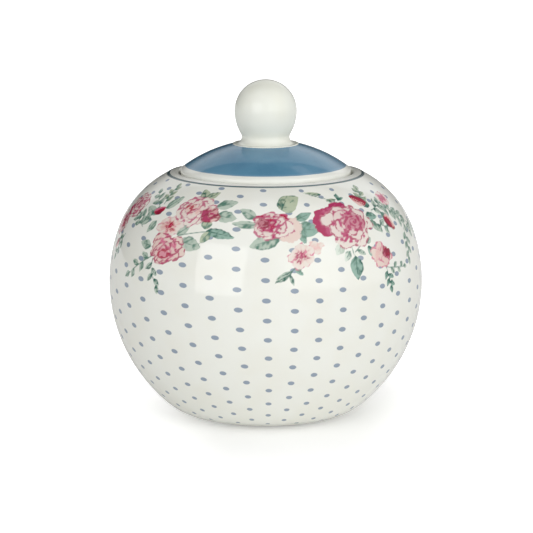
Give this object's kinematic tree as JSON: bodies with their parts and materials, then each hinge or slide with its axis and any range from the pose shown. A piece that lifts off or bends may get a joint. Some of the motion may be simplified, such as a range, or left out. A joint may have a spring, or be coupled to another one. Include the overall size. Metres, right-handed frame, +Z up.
{
  "type": "sugar bowl",
  "caption": "Ball-shaped lidded sugar bowl in white glazed ceramic, printed with dots and a band of roses, with a lift-off blue domed lid and a white ball knob.",
  "frame": {"origin": "centre of the plane the bowl stands on", "axes": "+Z up, along the axis that every piece is turned round; -Y is the side with the large magenta rose, seen by the viewer"},
  "size_m": [0.11, 0.11, 0.1179],
  "materials": {
    "printed_glaze": "glossy white glaze printed with grey-blue dots and a band of roses; the standing ring is bare",
    "blue_glaze": "glossy grey-blue glaze on the dome, white on its rolled edge and underneath",
    "white_glaze": "glossy white glaze"
  },
  "bodies": {
    "bowl": {"bowl": "printed_glaze"},
    "lid": {"lid_dome": "blue_glaze", "lid_knob": "white_glaze"}
  },
  "joints": [
    {"name": "lid_lift", "type": "slide", "parent": "bowl", "child": "lid", "axis": [0, 0, 1], "range_m": [0, 0.06]}
  ]
}
